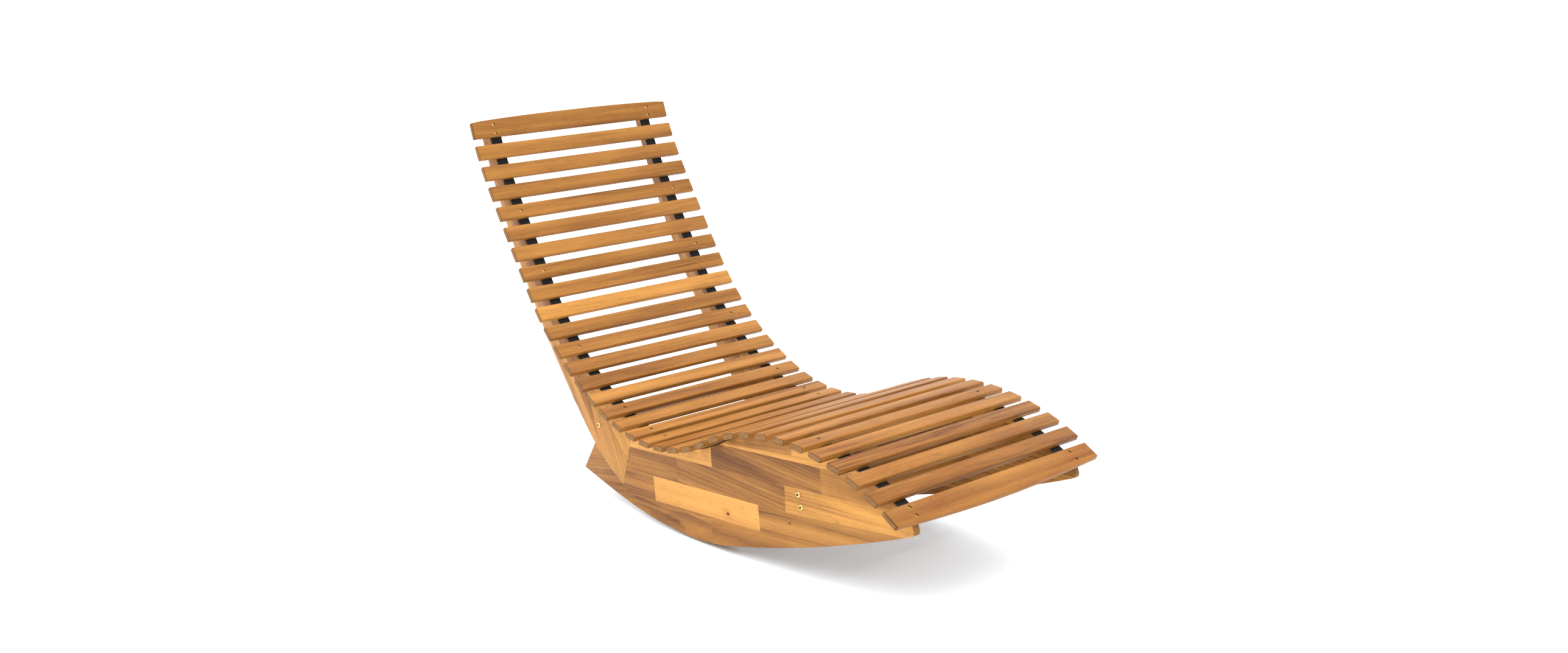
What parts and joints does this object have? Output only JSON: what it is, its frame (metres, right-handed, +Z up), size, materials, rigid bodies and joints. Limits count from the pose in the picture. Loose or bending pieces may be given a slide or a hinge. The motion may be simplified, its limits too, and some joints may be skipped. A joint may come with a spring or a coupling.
{
  "type": "rocking chaise lounge",
  "caption": "Rocking chaise lounge: a slatted mat on webbing follows two curved side frames whose lower edges rock on the floor.",
  "frame": {"origin": "on the floor, under the middle of the bounding box", "axes": "+X towards the foot end, +Y towards the sitter's left, +Z up"},
  "size_m": [1.567, 0.6, 0.9388],
  "materials": {
    "slat_wood": "oiled acacia, fine sanded",
    "end_slat_wood": "oiled acacia, fine sanded",
    "panel_wood": "oiled acacia, edge-glued staves",
    "rail_wood": "oiled acacia, edge-glued staves",
    "plate_wood": "oiled acacia",
    "stretcher_wood": "oiled acacia",
    "dowel_wood": "bare hardwood",
    "webbing": "ribbed woven webbing",
    "brass": "bright brass plating"
  },
  "bodies": {
    "root": {"back_rail_left": "rail_wood", "back_rail_right": "rail_wood", "back_stretcher": "stretcher_wood", "barrel_nut_back_left": "brass", "barrel_nut_back_right": "brass", "barrel_nut_front_lower_left": "brass", "barrel_nut_front_lower_right": "brass", "barrel_nut_front_upper_left": "brass", "barrel_nut_front_upper_right": "brass", "frame_bolt_back_left": "brass", "frame_bolt_back_right": "brass", "frame_bolt_front_lower_left": "brass", "frame_bolt_front_lower_right": "brass", "frame_bolt_front_upper_left": "brass", "frame_bolt_front_upper_right": "brass", "front_stretcher": "stretcher_wood", "rear_rocker_left": "plate_wood", "rear_rocker_right": "plate_wood", "rocker_panel_left": "panel_wood", "rocker_panel_right": "panel_wood", "seam_dowel_left": "dowel_wood", "seam_dowel_right": "dowel_wood", "slat_01": "end_slat_wood", "slat_02": "slat_wood", "slat_03": "slat_wood", "slat_04": "slat_wood", "slat_05": "slat_wood", "slat_06": "slat_wood", "slat_07": "slat_wood", "slat_08": "slat_wood", "slat_09": "slat_wood", "slat_10": "slat_wood", "slat_11": "slat_wood", "slat_12": "slat_wood", "slat_13": "slat_wood", "slat_14": "slat_wood", "slat_15": "slat_wood", "slat_16": "slat_wood", "slat_17": "slat_wood", "slat_18": "slat_wood", "slat_19": "slat_wood", "slat_20": "slat_wood", "slat_21": "slat_wood", "slat_22": "slat_wood", "slat_23": "slat_wood", "slat_24": "slat_wood", "slat_25": "slat_wood", "slat_26": "slat_wood", "slat_27": "slat_wood", "slat_28": "slat_wood", "slat_29": "slat_wood", "slat_30": "slat_wood", "slat_31": "slat_wood", "slat_32": "slat_wood", "slat_33": "slat_wood", "slat_34": "end_slat_wood", "strap_left": "webbing", "strap_right": "webbing", "stretcher_dowel_left": "dowel_wood", "stretcher_dowel_right": "dowel_wood"}
  },
  "joints": []
}
